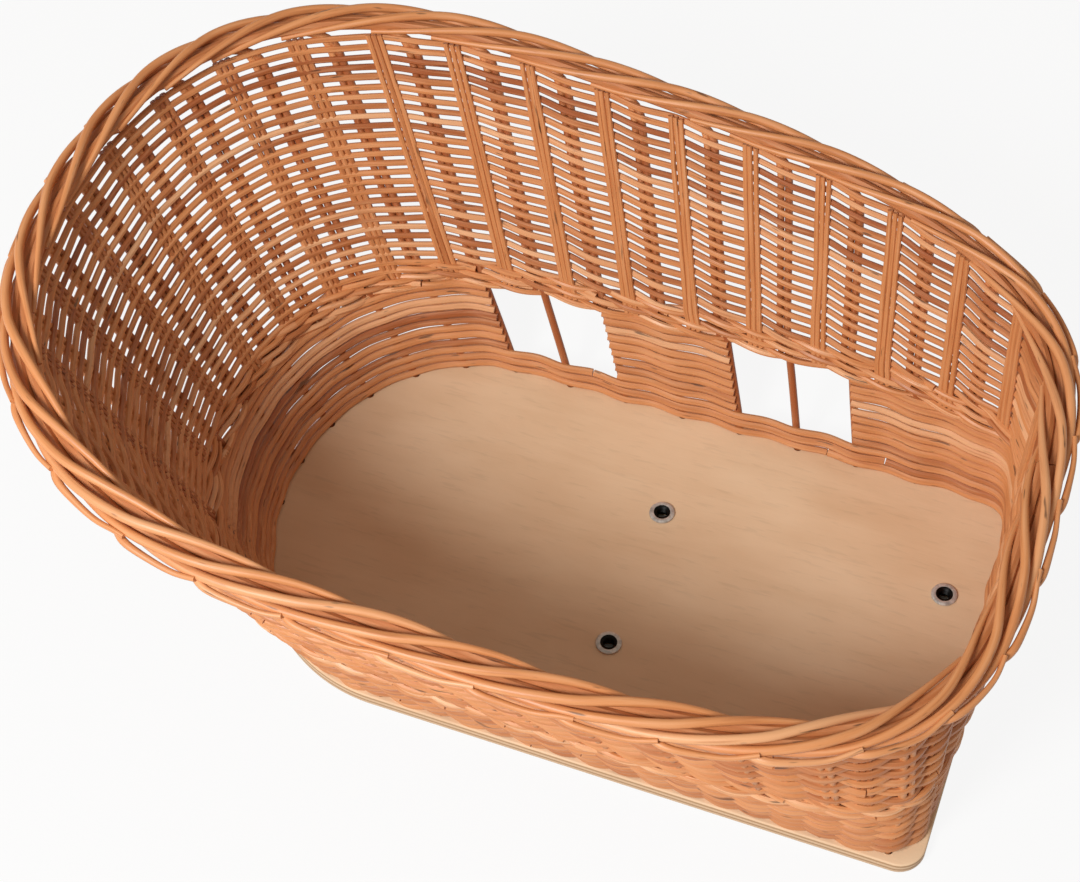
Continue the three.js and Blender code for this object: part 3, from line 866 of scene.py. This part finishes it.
class BASKET_OT_lower_weave(bpy.types.Operator):
    """Weave the close rows from the board up to the wale, leaving the windows open"""

    bl_idname = "basket.add_lower_weave"
    bl_label = "Lower Weave"

    windows = ((5, 7), (9, 11))
    past_stake = 0.02

    def execute(self, context):
        sizes = context.scene.basket_sizes
        wall = Wall(sizes)
        # 0.95 makes a darker copy of the willow: painted shade on the lower weave
        material = willow_material("lower_weaver_willow", context.scene.basket_colours, 0.95)
        random = np.random.default_rng(37)
        radius = sizes.lower_weaver / 2
        bottom = wall.board_top + radius
        rows = round((wall.window_top - bottom) / sizes.lower_pitch) + 1
        bm = bmesh.new()
        for row in range(rows):
            height = bottom + (wall.window_top - bottom) * row / (rows - 1)
            self.add_row(bm, wall, random, height, radius, row)
        finish_piece(bm, "lower_weave", material, "weaver_willow", *SILL_NODES)
        return {"FINISHED"}

    def add_row(self, bm, wall, random, height, radius, row):
        def share_of(places):
            return wall.share_at(places, height)

        swing = wall.sizes.lower_swing
        if height < wall.sill_top:
            start = random.integers(0, STAKES) + 0.5
            end = start + STAKES - ROD_GAP
            weave_row(bm, wall, random, start, end, share_of, radius, swing, row)
            return
        (first, second), (third, fourth) = self.windows
        past = self.past_stake
        weave_row(bm, wall, random, second - past, third + past, share_of, radius, swing, row)
        weave_row(bm, wall, random, fourth - past, first + STAKES + past, share_of, radius, swing, row)


class BASKET_OT_wale(bpy.types.Operator):
    """Twine the three rounds of three-rod wale over the windows"""

    bl_idname = "basket.add_wale"
    bl_label = "Wale"

    rods = 3
    rounds = 3
    round_gap = 0.05
    rod_places, shortest = (10, 16), 4
    points_to_place = 18
    strand_middle = 0.4 * MM
    strand_swing = 3.2 * MM
    strand_rise = 1.2 * MM
    lift_wander = 0.2 * MM
    butt, tip = 1.06, 0.86
    tones = (0.1, 1)

    def execute(self, context):
        sizes = context.scene.basket_sizes
        wall = Wall(sizes)
        material = willow_material("wale_willow", context.scene.basket_colours, 1.0)
        random = np.random.default_rng(41)
        bm = bmesh.new()
        radius = sizes.wale_rod / 2
        rise = sizes.wale / self.rounds
        for level in range(self.rounds):
            for rod in range(self.rods):
                height = wall.window_top + rise * (level + 0.5)
                start = random.integers(0, STAKES) + 0.25
                self.add_strand(bm, wall, random, start, height, rod, radius)
        finish_piece(bm, "wale", material, "weaver_willow")
        return {"FINISHED"}

    def add_strand(self, bm, wall, random, start, height, rod, radius):
        """One strand of a round, made of rods end to end."""
        place = start
        end = start + STAKES - self.round_gap
        while place < end - ROW_REST:
            until = min(place + random.uniform(*self.rod_places), end)
            until = end if end - until < self.shortest else until
            places = np.linspace(place, until, int((until - place) * self.points_to_place))
            turn = 2 * math.pi * (2 * places + rod) / self.rods
            out = self.strand_middle - self.strand_swing * np.cos(turn)
            up = self.strand_rise * np.sin(turn) + wander(random, places, self.lift_wander)
            line = wall.points(places, wall.share_at(places, height), out=out, up=up)
            taper = np.linspace(self.butt, self.tip, len(places))
            add_rod(bm, line, radius * taper, random.uniform(*self.tones))
            place = until + ROD_GAP


class BASKET_OT_upper_weave(bpy.types.Operator):
    """Weave the open rows, level with the rim, with short rows where the wall is higher"""

    bl_idname = "basket.add_upper_weave"
    bl_label = "Upper Weave"

    bands = 3
    border_gap = 1 * MM
    start_step = 7
    past_clear = 0.45

    def execute(self, context):
        sizes = context.scene.basket_sizes
        wall = Wall(sizes)
        material = willow_material("upper_weaver_willow", context.scene.basket_colours, 1.0)
        random = np.random.default_rng(53)
        radius = sizes.weaver / 2
        rows = self.rows(wall, radius)
        for band in range(self.bands):
            bm = bmesh.new()
            for row in range(band, len(rows), self.bands):
                drop, start, end = rows[row]

                def share_of(places, drop=drop):
                    return wall.share_below(places, drop)

                weave_row(bm, wall, random, start, end, share_of, radius, sizes.weave_swing, row)
            nodes = WALL_NODES[band::self.bands]
            finish_piece(bm, f"upper_weave_{band + 1}", material, "weaver_willow", *nodes)
        return {"FINISHED"}

    def rows(self, wall, radius):
        """Each row's drop under the rim and the places between which it clears the wale."""
        sizes = wall.sizes
        places = np.arange(0, STAKES, 0.5)
        rows = []
        wall_heights = wall.rim(places)[:, 2] - wall.board_top
        drop = sizes.border_height / 2 + radius + self.border_gap
        while True:
            heights = wall.board_top + wall.share_below(places, drop) * wall_heights
            clear = places[heights > wall.wale_top - 2 * radius]
            if len(clear) == 0:
                return rows
            if len(clear) == len(places):
                start = (self.start_step * len(rows)) % STAKES + 0.5
                rows.append((drop, start, start + STAKES - ROD_GAP))
            else:
                rows.append((drop, clear[0] - self.past_clear, clear[-1] + self.past_clear))
            drop += sizes.upper_pitch


class BASKET_OT_stage(bpy.types.Operator):
    """Set the pale floor, the soft light and the photograph's camera"""

    bl_idname = "basket.add_stage"
    bl_label = "Stage"

    floor_reach = 40
    floor_white = 0.9
    nuts_middle = 0.147
    nuts_reach = (0.11, 0.07)
    fill_colour = (1, 0.87, 0.74, 1)
    fill_strength = 0.38
    lamp_place = Vector((-0.44, -1.48, 1.57))
    lamp_target = Vector((0, 0, 0.1))
    lamp_size = 0.66
    lamp_power = 44

    def execute(self, context):
        self.floor(context)
        self.lights(context)
        self.camera(context)
        return {"FINISHED"}

    def floor(self, context):
        """A floor that shines white to the camera, except under the bolt holes, which stay dark."""
        bm = bmesh.new()
        bmesh.ops.create_grid(bm, x_segments=1, y_segments=1, size=self.floor_reach)
        mesh = bpy.data.meshes.new("floor")
        bm.to_mesh(mesh)
        bm.free()
        nodes = Nodes("pale_floor")
        nodes.shader.inputs["Base Color"].default_value = (*context.scene.basket_colours.floor, 1)
        nodes.shader.inputs["Roughness"].default_value = 0.9
        white = nodes.add("Emission", Color=(1, 1, 1, 1), Strength=1.0)
        path = nodes.add("LightPath")
        seen = nodes.math("MAXIMUM", path.outputs["Is Camera Ray"], path.outputs["Is Glossy Ray"])
        seen = nodes.math("MAXIMUM", seen, path.outputs["Is Transmission Ray"])
        place = nodes.add("SeparateXYZ", Vector=nodes.add("TexCoord").outputs["Object"])
        reach_x, reach_y = self.nuts_reach
        from_nuts = nodes.math("SUBTRACT", place.outputs["X"], self.nuts_middle)
        beyond_x = nodes.math("GREATER_THAN", nodes.math("ABSOLUTE", from_nuts), reach_x)
        beyond_y = nodes.math("GREATER_THAN", nodes.math("ABSOLUTE", place.outputs["Y"]), reach_y)
        open_floor = nodes.math("MAXIMUM", beyond_x, beyond_y)
        seen = nodes.math("MULTIPLY", seen, open_floor)
        mixed = nodes.add("MixShader", Fac=nodes.math("MULTIPLY", seen, self.floor_white))
        nodes.tree.links.new(nodes.shader.outputs[0], mixed.inputs[1])
        nodes.tree.links.new(white.outputs[0], mixed.inputs[2])
        output = nodes.tree.nodes["Material Output"]
        nodes.tree.links.new(mixed.outputs[0], output.inputs["Surface"])
        mesh.materials.append(nodes.material)
        floor = bpy.data.objects.new("floor", mesh)
        context.scene.collection.objects.link(floor)

    def lights(self, context):
        world = bpy.data.worlds.new("studio")
        world.use_nodes = True
        sky = world.node_tree.nodes["Background"]
        sky.inputs["Color"].default_value = self.fill_colour
        sky.inputs["Strength"].default_value = self.fill_strength
        context.scene.world = world
        lamp = bpy.data.lights.new("key_light", "AREA")
        lamp.shape = "DISK"
        lamp.size = self.lamp_size
        lamp.energy = self.lamp_power
        holder = bpy.data.objects.new("key_light", lamp)
        holder.location = self.lamp_place
        aim = self.lamp_target - self.lamp_place
        holder.rotation_euler = aim.to_track_quat("-Z", "Y").to_euler()
        context.scene.collection.objects.link(holder)

    def camera(self, context):
        level = math.cos(CAMERA_ELEVATION)
        back = Vector((
            math.sin(CAMERA_AZIMUTH) * level,
            -math.cos(CAMERA_AZIMUTH) * level,
            math.sin(CAMERA_ELEVATION),
        ))
        right = Vector((math.cos(CAMERA_AZIMUTH), math.sin(CAMERA_AZIMUTH), 0))
        up = back.cross(right)
        rolled_right = right * math.cos(CAMERA_ROLL) + up * math.sin(CAMERA_ROLL)
        rolled_up = up * math.cos(CAMERA_ROLL) - right * math.sin(CAMERA_ROLL)
        data = bpy.data.cameras.new("photo_camera")
        data.sensor_fit = "HORIZONTAL"
        data.sensor_width = SENSOR_WIDTH
        data.lens = FOCAL_PIXELS * SENSOR_WIDTH / IMAGE_WIDTH
        data.clip_start = 0.05
        camera = bpy.data.objects.new("photo_camera", data)
        turned = Matrix((rolled_right, rolled_up, back)).transposed().to_4x4()
        camera.matrix_world = Matrix.Translation(CAMERA_TARGET + CAMERA_DISTANCE * back) @ turned
        context.scene.collection.objects.link(camera)
        context.scene.camera = camera


class BASKET_PT_pieces(bpy.types.Panel):
    """Pieces of the basket in the order in which they are made"""

    bl_label = "Willow Dog Basket"
    bl_space_type = "VIEW_3D"
    bl_region_type = "UI"
    bl_category = "Basket"

    def draw(self, context):
        for operator in OPERATORS:
            self.layout.operator(operator.bl_idname)


OPERATORS = (
    BASKET_OT_board,
    BASKET_OT_nuts,
    BASKET_OT_stakes,
    BASKET_OT_bye_stakes,
    BASKET_OT_lower_weave,
    BASKET_OT_wale,
    BASKET_OT_upper_weave,
    BASKET_OT_stage,
)
CLASSES = (BasketSizes, BasketColours, *OPERATORS, BASKET_PT_pieces)


def register():
    for item in CLASSES:
        bpy.utils.register_class(item)
    bpy.types.Scene.basket_sizes = bpy.props.PointerProperty(type=BasketSizes)
    bpy.types.Scene.basket_colours = bpy.props.PointerProperty(type=BasketColours)


def unregister():
    del bpy.types.Scene.basket_colours
    del bpy.types.Scene.basket_sizes
    for item in reversed(CLASSES):
        bpy.utils.unregister_class(item)


def main():
    register()
    bpy.ops.basket.add_board()
    bpy.ops.basket.add_nuts()
    bpy.ops.basket.add_stakes()
    bpy.ops.basket.add_bye_stakes()
    bpy.ops.basket.add_lower_weave()
    bpy.ops.basket.add_wale()
    bpy.ops.basket.add_upper_weave()
    bpy.ops.basket.add_stage()
    bpy.context.scene.view_settings.view_transform = "Standard"


if __name__ == "__main__":
    main()
